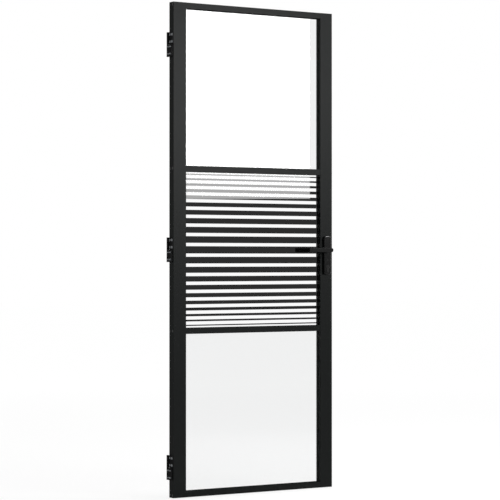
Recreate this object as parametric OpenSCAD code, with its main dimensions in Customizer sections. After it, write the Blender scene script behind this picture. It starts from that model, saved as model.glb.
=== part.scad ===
// Slim-framed interior glass door leaf on three lift-off hinges, with a lever lock.
// The origin is in the middle of the leaf's width and thickness, at its bottom edge.
// +X points to the lock stile, +Y to the side that the leaf opens to, +Z up. Sizes in millimetres.

/* [Leaf] */
// Width of the leaf over both stiles
leaf_w = 780; // [640:5:1000]
// Height of the leaf
leaf_h = 2015; // [1950:5:2300]
// Thickness of the leaf
leaf_t = 34; // [32:1:42]

/* [Frame profiles] */
// Face width of the hinge stile
hinge_stile_w = 60; // [45:1:80]
// Face width of the lock stile
lock_stile_w = 60; // [60:1:90]
// Face height of the top and bottom rails
rail_h = 25; // [23:1:60]
// Face height of the two muntins
muntin_h = 25; // [23:1:50]
// How far the muntins' faces lie behind the stiles' faces
muntin_setback = 1; // [0:0.5:3]
// Clear height between the two muntins
middle_opening_h = 636; // [500:1:800]
// Wall of the extruded profiles
profile_wall = 2; // [1.6:0.1:2.2]
// Radius on the outer edges of the profiles
profile_edge_r = 1; // [0.4:0.1:1.5]
// Depth of the glazing grooves
groove_depth = 9; // [8:0.5:9.5]
// Thickness of the end caps on the stiles
end_cap_t = 2; // [1:0.5:2.5]

/* [Glazing] */
// Thickness of the glass
glass_t = 6; // [4:1:8]
// How far the glass reaches into the grooves
glass_bite = 7; // [5:0.5:7.5]
// Thickness of a gasket's legs beside the glass
gasket_leg = 1.6; // [1:0.1:2]
// How far the gaskets stay inside the grooves' mouths
gasket_setback = 0.5; // [0.2:0.1:2]

/* [Stripes] */
// Stripes above, and below, the middle one
stripes_each_side = 10; // [3:1:10]
// Height of the middle stripe
stripe_mid_h = 30; // [20:0.5:36]
// Height of the topmost and lowest stripe
stripe_end_h = 5; // [2:0.5:18]
// Clear glass between the end stripes and the muntins
stripe_margin = 7; // [0:0.5:30]
// Width of the printed border at both sides
stripe_border = 3; // [2:0.5:20]
// Thickness of the fired enamel
enamel_t = 0.2; // [0.1:0.05:0.4]

/* [Hinges] */
// Height of a closed hinge
hinge_h = 100; // [90:1:130]
// Thickness of a hinge leaf
hinge_plate_t = 2.5; // [2.2:0.1:3.5]
// Gap between the planes of the two leaves of a closed hinge
hinge_leaf_gap = 1.5; // [1:0.1:2]
// From a hinge leaf's free edge to the leaf's front face
hinge_edge_setback = 1.5; // [0.5:0.1:2.5]
// Corner radius at a hinge leaf's free edge
hinge_corner_r = 3; // [1:0.5:5]
// Outer diameter of the knuckles
knuckle_d = 10.5; // [9:0.5:11.5]
// Diameter of the hinge pins
pin_d = 6; // [5:0.5:6.5]
// How far the pins' axis lies behind the leaf's back face
pin_behind = 5.5; // [5:0.1:8]
// Thickness of the thrust washers
washer_t = 2; // [1:0.5:3]
// Solid end of each knuckle
knuckle_end = 3; // [2:0.5:5]
// From the top of the leaf to the middle of the top hinge
top_hinge_drop = 172; // [120:1:300]
// From the bottom of the leaf to the middle of the bottom hinge
bottom_hinge_rise = 122; // [110:1:300]
// Spacing of the two columns of screws in a hinge leaf
hinge_col_pitch = 16; // [12:0.5:16]
// Spacing of the two rows of screws in a hinge leaf
hinge_row_pitch = 29; // [18:0.5:30]
// Diameter of the hinge screws
hinge_screw_d = 5; // [4:0.5:5]
// Length of the screws in the door hinge leaves
hinge_screw_len = 12; // [9:0.5:20]
// Length of the screws in the jamb hinge leaves
jamb_screw_len = 10; // [6:0.5:25]
// Thickness of the backing plates inside the hinge stile
backing_t = 4; // [2:0.5:6]

/* [Handle] */
// Height of the lever's axis
handle_z = 1007.5; // [950:0.5:1060]
// From the lock edge to the lever's axis
backset = 30; // [30:0.5:31]
// From the lever's axis to its free end
lever_len = 112; // [80:1:140]
// Height of the lever's bar
lever_h = 18; // [17:0.5:24]
// Depth of the lever's bar
lever_t = 10; // [7:0.5:14]
// From the leaf's face to the lever's outer face
lever_reach = 42.5; // [42:0.5:65]
// Chamfer along the lever's edges
lever_chamfer = 1.2; // [0.5:0.1:2]
// Diameter of the lever's neck
neck_d = 16; // [14:0.5:17]
// Side of the square spindle
spindle_w = 8; // [7:0.5:8]
// Width of the backplates
plate_w = 36; // [32:0.5:44]
// Height of a backplate above the lever's axis
plate_above = 59; // [55:1:90]
// Height of a backplate below the lever's axis
plate_below = 103; // [101:1:140]
// Thickness of the backplates
plate_t = 12; // [8:0.5:16]
// Corner radius of the backplates
plate_corner_r = 10; // [4:0.5:14]
// Chamfer round a backplate's front
plate_chamfer = 2; // [0.5:0.1:3]
// Through screw above the lever's axis
plate_screw_rise = 46; // [42:0.5:48]
// Through screw below the lever's axis
plate_screw_drop = 42; // [38:0.5:46]

/* [Lock] */
// Thickness of the lock case
case_t = 16; // [15:0.5:20]
// Height of the lock case above the lever's axis
case_above = 34; // [33:0.5:38]
// Height of the lock case below the lever's axis
case_below = 104; // [100:0.5:110]
// Sheet of the lock case
case_wall = 1.2; // [0.8:0.1:1.4]
// Radius of the follower's hub
hub_r = 9; // [8.5:0.1:9.5]
// How far the latch bolt stands out, and travels
latch_throw = 11.5; // [9:0.5:11.5]
// Height of the latch bolt's head
latch_h = 17; // [14:0.5:20]
// Thickness of the latch bolt's head
latch_t = 11; // [9:0.5:11.5]
// Height of the dead bolt
bolt_h = 17; // [12:0.5:18]
// Thickness of the dead bolt
bolt_t = 10; // [8:0.5:11.5]
// From the lever's axis down to the middle of the dead bolt
bolt_drop = 42; // [41.5:0.5:44]
// From the lever's axis down to the key plug's axis
cylinder_drop = 72; // [70:0.5:74]
// How far the cylinder stands out of the backplates
cylinder_proud = 1.5; // [0:0.5:3]
// Width of the forend
forend_w = 22; // [20:0.5:24]
// Thickness of the forend
forend_t = 2; // [1.5:0.1:3]
// Height of the forend beyond the lock case at each end
forend_ear = 22; // [16:0.5:40]

/* [Clearances] */
// Radial running clearance of pins and shafts
run_clear = 0.05; // [0.02:0.01:0.1]
// Clearance beside the sliding bolts
slide_clear = 0.3; // [0.2:0.05:0.4]
// Clearance of cut-outs round fixed pieces
fit_clear = 0.3; // [0.1:0.05:0.5]

/* [Hidden] */
$fn = 64;
cut = 1; // overshoot of the cutting bodies

// Finishes
powder_black = [0.045, 0.047, 0.05];
enamel_black = [0.02, 0.02, 0.022];
clear_glass = [0.85, 0.92, 0.9, 0.3];
rubber_black = [0.03, 0.03, 0.03];
zinc = [0.62, 0.63, 0.65];
steel = [0.5, 0.5, 0.52];
nickel = [0.7, 0.68, 0.62];
plastic_black = [0.06, 0.06, 0.06];
black_oxide = [0.05, 0.05, 0.05];

// Places in the leaf
hinge_edge_x = -leaf_w / 2;
lock_edge_x = leaf_w / 2;
mid_z = leaf_h / 2;
face_y = leaf_t / 2;
open_x0 = hinge_edge_x + hinge_stile_w;
open_x1 = lock_edge_x - lock_stile_w;
lower_muntin_z = mid_z - middle_opening_h / 2 - muntin_h;
upper_muntin_z = mid_z + middle_opening_h / 2;
lower_opening = [rail_h, lower_muntin_z];
middle_opening = [lower_muntin_z + muntin_h, upper_muntin_z];
upper_opening = [upper_muntin_z + muntin_h, leaf_h - rail_h];

// Inside of the profiles
groove_w = glass_t + 2 * gasket_leg;
chamber_y = face_y - profile_wall;
lip_y = groove_w / 2 + profile_wall;
muntin_y = face_y - muntin_setback;
muntin_chamber_y = muntin_y - profile_wall;
port_y = (lip_y + muntin_chamber_y) / 2;
port_sink = 0.4;
port_boss_r = 3.8;
muntin_boss_r = (muntin_chamber_y - lip_y) / 2 + port_sink;
rail_port_z = rail_h - groove_depth - profile_wall - port_boss_r + port_sink;

// Rail screws and their access holes
rail_screw_r = 2.1;
rail_screw_head_r = 3.9;
rail_screw_head_t = 2.6;
rail_screw_grip = 25; // length in the rail
rail_screw_hole_r = rail_screw_r + fit_clear;
access_r = rail_screw_head_r + fit_clear;
plug_flange_r = access_r + 0.9;
plug_flange_t = 0.7;
end_cap_plug_h = 3;
rail_screw_zs = [
    rail_port_z,
    lower_muntin_z + muntin_h / 2,
    upper_muntin_z + muntin_h / 2,
    leaf_h - rail_port_z,
];

// Hinges
hinge_zs = [leaf_h - top_hinge_drop, mid_z, bottom_hinge_rise];
pin_x = hinge_edge_x - hinge_plate_t - hinge_leaf_gap / 2;
pin_y = face_y + pin_behind;
pin_r = pin_d / 2;
pin_end_gap = 0.3;
knuckle_h = (hinge_h - washer_t) / 2;
hinge_leaf_w = pin_y + face_y - hinge_edge_setback;
hinge_cols = [hinge_col_pitch / 2, -hinge_col_pitch / 2];
hinge_row_0 = hinge_h / 4 - hinge_row_pitch / 2;
hinge_rows = [hinge_row_0, hinge_row_0 + hinge_row_pitch];
hinge_screw_r = hinge_screw_d / 2;
hinge_hole_r = hinge_screw_r + 0.1;
hinge_head_r = hinge_screw_r + hinge_plate_t;
screw_tip = 0.6;
backing_margin = 4;

// Handle
lever_x = lock_edge_x - backset;
bar_back_y = face_y + lever_reach - lever_t;
plate_face_y = face_y + plate_t;
bush_r = neck_d / 2 + 2;
spindle_hole_r = hub_r + fit_clear;
spindle_end_y = bar_back_y - 4;
neck_root_y = face_y + fit_clear;
grub_r = 2.5;
grub_y = plate_face_y + 7;
plate_screw_zs = [handle_z + plate_screw_rise, handle_z - plate_screw_drop];
plate_screw_r = 2;
plate_screw_head_r = 4;
plate_screw_end_y = 5;
sleeve_r = 3.5;
sleeve_head_r = 5;
sleeve_head_t = 1.5;
sleeve_end_y = -(face_y - profile_wall - 4);

// Lock
case_x0 = lock_edge_x - lock_stile_w + groove_depth + profile_wall + fit_clear;
case_z0 = handle_z - case_below;
case_z1 = handle_z + case_above;
case_in_y = case_t / 2 - case_wall;
forend_x = lock_edge_x + forend_t;
forend_z0 = case_z0 - forend_ear;
forend_z1 = case_z1 + forend_ear;
forend_screw_zs = [forend_z0 + forend_ear / 2, forend_z1 - forend_ear / 2];
forend_screw_r = 2;
forend_screw_head_r = 3.6;
forend_screw_len = 9;
forend_corner_r = 4;
journal_r = 7.5;
finger_half = 2.5;
finger_r = 17.5;
finger_half_y = 4;
hook_gap = 0.7;
hook_t = 2;
latch_z0 = handle_z + hub_r + 1.5;
latch_nose_flat = 3;
latch_root_x = lever_x + finger_half + latch_throw + 1;
latch_tail_half_y = 3;
latch_tail_z = handle_z + finger_r + 1;
latch_tail_h = 4.5;
hook_x = lever_x - finger_half - hook_gap;
bolt_z0 = handle_z - bolt_drop - bolt_h / 2;
bolt_root_x = lever_x + 8;
bolt_set_in = 0.1;

// Profile cylinder
plug_z = handle_z - cylinder_drop;
cylinder_r = 8.5;
cylinder_tail_w = 10;
cylinder_tail = 24.5;
cylinder_half = plate_face_y + cylinder_proud;
plug_r = 6.5;
cam_half_y = 5;
cam_hub_r = 8;
cam_r = 13.2;
cam_half_w = 3;
cam_gap = 0.3;
cam_sweep_r = sqrt(cam_r * cam_r + cam_half_w * cam_half_w) + cam_gap;
keyway_w = 1.8;
keyway_h = 8;
keyway_depth = 14;
cylinder_screw_r = 2.5;
cylinder_screw_head_r = 4.4;
cylinder_screw_z = plug_z - cylinder_tail + cylinder_tail_w / 2;
cylinder_screw_end_x = lever_x - cylinder_tail_w / 2;

// Straight rods along X and along Y
module x_rod(x0, x1, r) {
    translate([x0, 0, 0]) rotate([0, 90, 0]) cylinder(r = r, h = x1 - x0);
}

module y_rod(y0, y1, r) {
    translate([0, y0, 0]) rotate([-90, 0, 0]) cylinder(r = r, h = y1 - y0);
}

// Countersunk screw with its flat head at the origin, pointing up
module countersunk_screw(r, head_r, len) {
    cylinder(r1 = head_r, r2 = r, h = head_r - r);
    cylinder(r = r, h = len - screw_tip);
    translate([0, 0, len - screw_tip]) cylinder(r1 = r, r2 = r - screw_tip, h = screw_tip);
}

// Countersunk hole through a plate whose face is at the origin, pointing up
module countersunk_hole(r, head_r, depth) {
    cylinder(r1 = head_r, r2 = r, h = head_r - r);
    translate([0, 0, -cut]) cylinder(r = r, h = depth + 2 * cut);
    translate([0, 0, -cut]) cylinder(r = head_r, h = cut);
}

module rounded_rect(w, h, r) {
    square([w, h - 2 * r], center = true);
    square([w - 2 * r, h], center = true);
    for (x = [-1, 1], y = [-1, 1]) translate([x * (w / 2 - r), y * (h / 2 - r)]) circle(r);
}

// Slab with round corners and a chamfered front edge
module chamfered_plate(w, h, t, r, c) {
    linear_extrude(t - c) rounded_rect(w, h, r);
    translate([0, 0, t - c]) {
        for (x = [-1, 1], y = [-1, 1])
            translate([x * (w / 2 - r), y * (h / 2 - r), 0]) cylinder(r1 = r, r2 = r - c, h = c);
        rotate([90, 0, 0]) linear_extrude(h - 2 * r, center = true) chamfered_band(w, c);
        rotate([90, 0, 90]) linear_extrude(w - 2 * r, center = true) chamfered_band(h, c);
    }
}

module chamfered_band(w, c) {
    polygon([[-w / 2, 0], [w / 2, 0], [w / 2 - c, c], [-w / 2 + c, c]]);
}

// Section of a stile: outer edge at x = 0, glazing groove at x = w
module stile_section(w) {
    difference() {
        translate([w / 2, 0]) rounded_rect(w, leaf_t, profile_edge_r);
        translate([w - groove_depth, -groove_w / 2]) square([groove_depth + cut, groove_w]);
        translate([profile_wall, -chamber_y])
            square([w - groove_depth - 2 * profile_wall, 2 * chamber_y]);
        for (side = [0, 1]) mirror([0, side])
            translate([w - groove_depth, lip_y])
                square([groove_depth - profile_wall, chamber_y - lip_y]);
    }
}

// Section of a rail: outer edge at y = 0, glazing groove at y = rail_h
module rail_section() {
    difference() {
        union() {
            difference() {
                translate([0, rail_h / 2]) rounded_rect(leaf_t, rail_h, profile_edge_r);
                translate([-chamber_y, profile_wall])
                    square([2 * chamber_y, rail_h - groove_depth - 2 * profile_wall]);
            }
            for (side = [-1, 1]) translate([side * port_y, rail_port_z]) circle(port_boss_r);
        }
        translate([-groove_w / 2, rail_h - groove_depth]) square([groove_w, groove_depth + cut]);
        for (side = [0, 1]) mirror([side, 0]) {
            translate([lip_y, rail_h - groove_depth])
                square([chamber_y - lip_y, groove_depth - profile_wall]);
            translate([port_y, rail_port_z]) circle(rail_screw_r);
        }
    }
}

// Section of a muntin: a groove in both edges, a screw port across each side chamber
module muntin_section() {
    difference() {
        union() {
            difference() {
                translate([0, muntin_h / 2]) rounded_rect(2 * muntin_y, muntin_h, profile_edge_r);
                for (side = [0, 1]) mirror([side, 0])
                    translate([lip_y, profile_wall])
                        square([muntin_chamber_y - lip_y, muntin_h - 2 * profile_wall]);
            }
            for (side = [-1, 1]) translate([side * port_y, muntin_h / 2]) circle(muntin_boss_r);
        }
        for (edge = [-cut, muntin_h - groove_depth])
            translate([-groove_w / 2, edge]) square([groove_w, groove_depth + cut]);
        for (side = [-1, 1]) translate([side * port_y, muntin_h / 2]) circle(rail_screw_r);
    }
}

// Places of the rail screws in a stile: each child at one screw's axis
module at_rail_screws() {
    for (z = rail_screw_zs, side = [-1, 1]) translate([0, side * port_y, z]) children();
}

// A stile from its outer edge at x = 0, drilled for the rail screws
module drilled_stile(w) {
    difference() {
        translate([0, 0, end_cap_t]) linear_extrude(leaf_h - 2 * end_cap_t) stile_section(w);
        at_rail_screws() {
            x_rod(-cut, profile_wall + cut, access_r);
            x_rod(w - groove_depth - profile_wall - cut, w + cut, rail_screw_hole_r);
        }
    }
}

// The lock stile's children stand with their outer edge at the lock edge
module on_lock_edge() {
    translate([lock_edge_x, 0, 0]) mirror([1, 0, 0]) children();
}

module on_hinge_edge() {
    translate([hinge_edge_x, 0, 0]) children();
}

module hinge_stile() {
    color(powder_black) difference() {
        on_hinge_edge() drilled_stile(hinge_stile_w);
        at_hinge_screws(1) x_rod(hinge_edge_x - cut, hinge_edge_x + profile_wall + cut, hinge_screw_r + fit_clear);
    }
}

module lock_stile() {
    color(powder_black) difference() {
        on_lock_edge() drilled_stile(lock_stile_w);
        translate([lock_edge_x - profile_wall - cut, -case_t / 2 - fit_clear, case_z0 - fit_clear])
            cube([profile_wall + 2 * cut, case_t + 2 * fit_clear, case_above + case_below + 2 * fit_clear]);
        translate([lever_x, 0, handle_z]) y_rod(-face_y - cut, face_y + cut, spindle_hole_r);
        translate([lever_x, 0, plug_z]) through_profile(fit_clear, leaf_t + 2 * cut);
        for (z = plate_screw_zs) translate([lever_x, 0, z]) y_rod(-face_y - cut, face_y + cut, sleeve_r + fit_clear);
        for (z = forend_screw_zs)
            translate([0, 0, z]) x_rod(lock_edge_x - profile_wall - cut, lock_edge_x + cut, forend_screw_r);
    }
}

// A profile that runs the width of the opening; its section's y axis is turned to Z
module across_opening(z) {
    translate([open_x0, 0, z]) rotate([90, 0, 90]) linear_extrude(open_x1 - open_x0) children();
}

module top_rail() {
    color(powder_black) across_opening(leaf_h) mirror([0, 1]) rail_section();
}

module bottom_rail() {
    color(powder_black) across_opening(0) rail_section();
}

module upper_muntin() {
    color(powder_black) across_opening(upper_muntin_z) muntin_section();
}

module lower_muntin() {
    color(powder_black) across_opening(lower_muntin_z) muntin_section();
}

// A block that overlaps an opening by a margin on all four edges
module over_opening(opening, margin, y0, y1) {
    translate([open_x0 - margin, y0, opening[0] - margin])
        cube([open_x1 - open_x0 + 2 * margin, y1 - y0, opening[1] - opening[0] + 2 * margin]);
}

module pane(opening) {
    color(clear_glass) over_opening(opening, glass_bite, -glass_t / 2, glass_t / 2);
}

module upper_pane() { pane(upper_opening); }
module middle_pane() { pane(middle_opening); }
module lower_pane() { pane(lower_opening); }

// U-shaped gasket round the edge of a pane, filling the groove
module gasket(opening) {
    color(rubber_black) difference() {
        over_opening(opening, groove_depth, -groove_w / 2, groove_w / 2);
        over_opening(opening, glass_bite, -glass_t / 2, glass_t / 2);
        over_opening(opening, gasket_setback, -groove_w / 2 - cut, groove_w / 2 + cut);
    }
}

module upper_gasket() { gasket(upper_opening); }
module middle_gasket() { gasket(middle_opening); }
module lower_gasket() { gasket(lower_opening); }

// Each next stripe is lower by one step, and the gaps share out the rest of the opening.
// stripe_h and stripe_z give the height and the middle of the stripe k steps from the middle one.
stripe_step = (stripe_mid_h - stripe_end_h) / stripes_each_side;
stripes_sum_h = stripes_each_side * stripe_mid_h + (stripes_each_side + 1) * stripe_end_h;
stripe_gap = (middle_opening_h - 2 * stripe_margin - stripes_sum_h) / (2 * stripes_each_side);
function stripe_h(k) = stripe_mid_h - stripe_step * abs(k);
function stripe_z(k) = mid_z + k * (stripe_mid_h + stripe_gap) - sign(k) * stripe_step * k * k / 2;

module stripe_print() {
    color(enamel_black) translate([0, -glass_t / 2 - enamel_t, 0]) {
        for (k = [-stripes_each_side:stripes_each_side])
            translate([open_x0, 0, stripe_z(k) - stripe_h(k) / 2])
                cube([open_x1 - open_x0, enamel_t, stripe_h(k)]);
        for (x = [open_x0, open_x1 - stripe_border])
            translate([x, 0, middle_opening[0]])
                cube([stripe_border, enamel_t, middle_opening[1] - middle_opening[0]]);
    }
}

// Cap on the lower end of a stile, its plug in the main chamber
module end_cap(w) {
    chamber_w = w - groove_depth - 2 * profile_wall;
    translate([w / 2, 0, 0]) linear_extrude(end_cap_t) rounded_rect(w, leaf_t, profile_edge_r);
    translate([profile_wall + fit_clear / 2, -chamber_y + fit_clear / 2, end_cap_t])
        cube([chamber_w - fit_clear, 2 * chamber_y - fit_clear, end_cap_plug_h]);
}

module stile_end_caps() {
    color(plastic_black) for (top = [0, 1]) translate([0, 0, top * leaf_h]) mirror([0, 0, top]) {
        on_hinge_edge() end_cap(hinge_stile_w);
        on_lock_edge() end_cap(lock_stile_w);
    }
}

// The screws of one stile: heads on the inner wall of its main chamber
module stile_rail_screws(w) {
    seat_x = w - groove_depth - profile_wall;
    at_rail_screws() {
        x_rod(seat_x - rail_screw_head_t, seat_x, rail_screw_head_r);
        x_rod(seat_x, w + rail_screw_grip, rail_screw_r);
    }
}

module rail_screws() {
    color(zinc) {
        on_hinge_edge() stile_rail_screws(hinge_stile_w);
        on_lock_edge() stile_rail_screws(lock_stile_w);
    }
}

module stile_access_plugs() {
    at_rail_screws() {
        x_rod(-plug_flange_t, 0, plug_flange_r);
        x_rod(0, profile_wall, access_r);
    }
}

module access_plugs() {
    color(plastic_black) {
        on_hinge_edge() stile_access_plugs();
        on_lock_edge() stile_access_plugs();
    }
}

// Outline of a hinge leaf: knuckle axis at x = 0, free edge with round corners
module hinge_outline() {
    r = hinge_corner_r;
    translate([r - hinge_leaf_w, 0]) square([hinge_leaf_w - r, knuckle_h]);
    translate([-hinge_leaf_w, r]) square([r, knuckle_h - 2 * r]);
    for (z = [r, knuckle_h - r]) translate([r - hinge_leaf_w, z]) circle(r);
}

// Half a hinge, its foot at z0: a knuckle, and a leaf whose lower X face is at plate_x
module half_hinge(plate_x, z0) {
    translate([pin_x, pin_y, z0]) cylinder(d = knuckle_d, h = knuckle_h);
    translate([plate_x, pin_y, z0]) rotate([90, 0, 90]) linear_extrude(hinge_plate_t) hinge_outline();
}

// Places of the hinge screws: side 1 in the door leaves, -1 in the jamb leaves
module at_leaf_screws(side) {
    for (y = hinge_cols, z = hinge_rows) translate([0, y, side * z]) children();
}

module at_hinge_screws(side) {
    for (z = hinge_zs) translate([0, 0, z]) at_leaf_screws(side) children();
}

// A screw or hole in a door leaf points into the stile, in a jamb leaf into the jamb
module into_stile() {
    translate([hinge_edge_x - hinge_plate_t, 0, 0]) rotate([0, 90, 0]) children();
}

module into_jamb() {
    translate([pin_x - hinge_leaf_gap / 2, 0, 0]) rotate([0, -90, 0]) children();
}

module door_leaf(z) {
    color(powder_black) difference() {
        half_hinge(hinge_edge_x - hinge_plate_t, z + washer_t / 2);
        translate([pin_x, pin_y, z])
            cylinder(r = pin_r + run_clear, h = hinge_h / 2 - knuckle_end);
        translate([0, 0, z]) at_leaf_screws(1)
            into_stile() countersunk_hole(hinge_hole_r, hinge_head_r, hinge_plate_t);
    }
}

module jamb_leaf(z) {
    color(powder_black) difference() {
        half_hinge(pin_x - hinge_leaf_gap / 2 - hinge_plate_t, z - hinge_h / 2);
        translate([pin_x, pin_y, z - hinge_h / 2 + knuckle_end]) cylinder(r = pin_r, h = hinge_h / 2);
        translate([0, 0, z]) at_leaf_screws(-1)
            into_jamb() countersunk_hole(hinge_hole_r, hinge_head_r, hinge_plate_t);
    }
}

module door_leaf_top() { door_leaf(hinge_zs[0]); }
module door_leaf_middle() { door_leaf(hinge_zs[1]); }
module door_leaf_bottom() { door_leaf(hinge_zs[2]); }
module jamb_leaf_top() { jamb_leaf(hinge_zs[0]); }
module jamb_leaf_middle() { jamb_leaf(hinge_zs[1]); }
module jamb_leaf_bottom() { jamb_leaf(hinge_zs[2]); }

module hinge_pins() {
    pin_len = hinge_h - 2 * knuckle_end - pin_end_gap;
    color(steel) for (z = hinge_zs)
        translate([pin_x, pin_y, z - hinge_h / 2 + knuckle_end]) cylinder(r = pin_r, h = pin_len);
}

module thrust_washers() {
    color(plastic_black) for (z = hinge_zs) translate([pin_x, pin_y, z - washer_t / 2]) difference() {
        cylinder(d = knuckle_d, h = washer_t - run_clear);
        translate([0, 0, -cut]) cylinder(r = pin_r + run_clear, h = washer_t + 2 * cut);
    }
}

module jamb_screws() {
    color(zinc) at_hinge_screws(-1) into_jamb() countersunk_screw(hinge_screw_r, hinge_head_r, jamb_screw_len);
}

module hinge_leaf_screws() {
    color(zinc) at_hinge_screws(1) into_stile() countersunk_screw(hinge_screw_r, hinge_head_r, hinge_screw_len);
}

// Tapped plates inside the hinge stile, behind its outer wall
module hinge_backing_plates() {
    half_y = chamber_y - fit_clear;
    color(steel) for (z = hinge_zs) translate([hinge_edge_x + profile_wall, 0, z]) difference() {
        translate([0, -half_y, backing_margin])
            cube([backing_t, 2 * half_y, hinge_h / 2 - 2 * backing_margin]);
        at_leaf_screws(1) x_rod(-cut, backing_t + cut, hinge_screw_r);
    }
}

// Outline of the profile cylinder, grown by a clearance: plug axis at the origin
module cylinder_outline(clear) {
    tail_r = cylinder_tail_w / 2;
    circle(cylinder_r + clear);
    translate([-tail_r - clear, tail_r - cylinder_tail])
        square([cylinder_tail_w + 2 * clear, cylinder_tail - tail_r]);
    translate([0, tail_r - cylinder_tail]) circle(tail_r + clear);
}

module through_profile(clear, len) {
    rotate([90, 0, 0]) linear_extrude(len, center = true) cylinder_outline(clear);
}

// Openings of the two bolts, from x0 to x1
module bolt_openings(x0, x1) {
    translate([x0, -latch_t / 2 - slide_clear, latch_z0 - slide_clear])
        cube([x1 - x0, latch_t + 2 * slide_clear, latch_h + 2 * slide_clear]);
    translate([x0, -bolt_t / 2 - slide_clear, bolt_z0 - slide_clear])
        cube([x1 - x0, bolt_t + 2 * slide_clear, bolt_h + 2 * slide_clear]);
}

// What passes through both cheeks of the lock case
module cheek_holes() {
    len = case_t + 2 * cut;
    translate([lever_x, 0, handle_z]) y_rod(-len / 2, len / 2, journal_r + run_clear);
    translate([lever_x, 0, plug_z]) through_profile(fit_clear, len);
    translate([lever_x, 0, plate_screw_zs[1]]) y_rod(-len / 2, len / 2, sleeve_r + fit_clear);
}

module lock_case() {
    depth = lock_edge_x - case_x0;
    height = case_z1 - case_z0;
    color(zinc) difference() {
        translate([case_x0, -case_t / 2, case_z0]) cube([depth, case_t - case_wall, height]);
        translate([case_x0 + case_wall, -case_in_y, case_z0 + case_wall])
            cube([depth - 2 * case_wall, case_t, height - 2 * case_wall]);
        bolt_openings(lock_edge_x - case_wall - cut, lock_edge_x + cut);
        translate([0, 0, cylinder_screw_z])
            x_rod(lock_edge_x - case_wall - cut, lock_edge_x + cut, cylinder_screw_r + fit_clear);
        cheek_holes();
    }
}

module lock_cover() {
    color(zinc) difference() {
        translate([case_x0, case_in_y, case_z0]) cube([lock_edge_x - case_x0, case_wall, case_z1 - case_z0]);
        cheek_holes();
    }
}

module from_forend() {
    translate([forend_x, 0, 0]) rotate([0, -90, 0]) children();
}

module forend() {
    color(steel) difference() {
        translate([lock_edge_x, 0, (forend_z0 + forend_z1) / 2]) rotate([90, 0, 90])
            linear_extrude(forend_t) rounded_rect(forend_w, forend_z1 - forend_z0, forend_corner_r);
        bolt_openings(lock_edge_x - cut, forend_x + cut);
        for (z = forend_screw_zs) translate([0, 0, z])
            from_forend() countersunk_hole(forend_screw_r + 0.1, forend_screw_head_r, forend_t);
        translate([0, 0, cylinder_screw_z])
            from_forend() countersunk_hole(cylinder_screw_r + 0.1, cylinder_screw_head_r, forend_t);
    }
}

module forend_screws() {
    color(steel) for (z = forend_screw_zs) translate([0, 0, z])
        from_forend() countersunk_screw(forend_screw_r, forend_screw_head_r, forend_screw_len);
}

module cylinder_screw() {
    color(steel) translate([0, 0, cylinder_screw_z]) from_forend()
        countersunk_screw(cylinder_screw_r, cylinder_screw_head_r, forend_x - cylinder_screw_end_x);
}

module cylinder_body() {
    color(black_oxide) translate([lever_x, 0, plug_z]) difference() {
        through_profile(0, 2 * cylinder_half);
        y_rod(-cylinder_half - cut, cylinder_half + cut, plug_r + run_clear);
        y_rod(-cam_half_y - cam_gap, cam_half_y + cam_gap, cam_sweep_r);
        translate([0, 0, cylinder_screw_z - plug_z])
            x_rod(-cylinder_tail_w / 2 - cut, cylinder_tail_w / 2 + cut, cylinder_screw_r);
    }
}

// Plug from end to end, with the cam between the halves of the body and a keyway in both ends
module key_plug() {
    color(black_oxide) translate([lever_x, 0, plug_z]) difference() {
        union() {
            y_rod(-cylinder_half, cylinder_half, plug_r);
            y_rod(-cam_half_y, cam_half_y, cam_hub_r);
            translate([-cam_half_w, -cam_half_y, -cam_r]) cube([2 * cam_half_w, 2 * cam_half_y, cam_r]);
        }
        for (end = [0, 1]) mirror([0, end, 0])
            translate([-keyway_w / 2, cylinder_half - keyway_depth, -keyway_h / 2])
                cube([keyway_w, keyway_depth + cut, keyway_h]);
    }
}

// A backplate on the front face; the rear one is its mirror image
module backplate_body() {
    plate_h = plate_above + plate_below;
    translate([lever_x, -face_y, handle_z + (plate_above - plate_below) / 2])
        rotate([90, 0, 0]) chamfered_plate(plate_w, plate_h, plate_t, plate_corner_r, plate_chamfer);
}

module backplate_holes() {
    translate([lever_x, 0, handle_z]) y_rod(-plate_face_y - cut, -face_y + cut, bush_r);
    translate([lever_x, 0, plug_z]) through_profile(fit_clear, 2 * (plate_face_y + cut));
}

module front_backplate() {
    color(powder_black) difference() {
        backplate_body();
        backplate_holes();
        for (z = plate_screw_zs) translate([lever_x, -plate_face_y, z])
            rotate([-90, 0, 0]) countersunk_hole(plate_screw_r + 0.1, plate_screw_head_r, plate_t);
    }
}

module rear_backplate() {
    color(powder_black) mirror([0, 1, 0]) difference() {
        backplate_body();
        backplate_holes();
        for (z = plate_screw_zs)
            translate([lever_x, 0, z]) y_rod(-plate_face_y - cut, -face_y + cut, sleeve_r + 0.1);
    }
}

module plate_screws() {
    color(black_oxide) for (z = plate_screw_zs) translate([lever_x, -plate_face_y, z]) rotate([-90, 0, 0])
        countersunk_screw(plate_screw_r, plate_screw_head_r, plate_face_y + plate_screw_end_y);
}

module sleeve_nuts() {
    color(black_oxide) for (z = plate_screw_zs) translate([lever_x, 0, z]) difference() {
        union() {
            y_rod(sleeve_end_y, plate_face_y, sleeve_r);
            y_rod(plate_face_y, plate_face_y + sleeve_head_t, sleeve_head_r);
        }
        y_rod(sleeve_end_y - cut, plate_screw_end_y + 2, plate_screw_r + run_clear);
    }
}

module lever_bushes() {
    color(plastic_black) for (side = [0, 1]) mirror([0, side, 0]) translate([lever_x, 0, handle_z])
        difference() {
            y_rod(-plate_face_y, -face_y, bush_r);
            y_rod(-plate_face_y - cut, -face_y + cut, neck_d / 2 + run_clear);
        }
}

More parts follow.
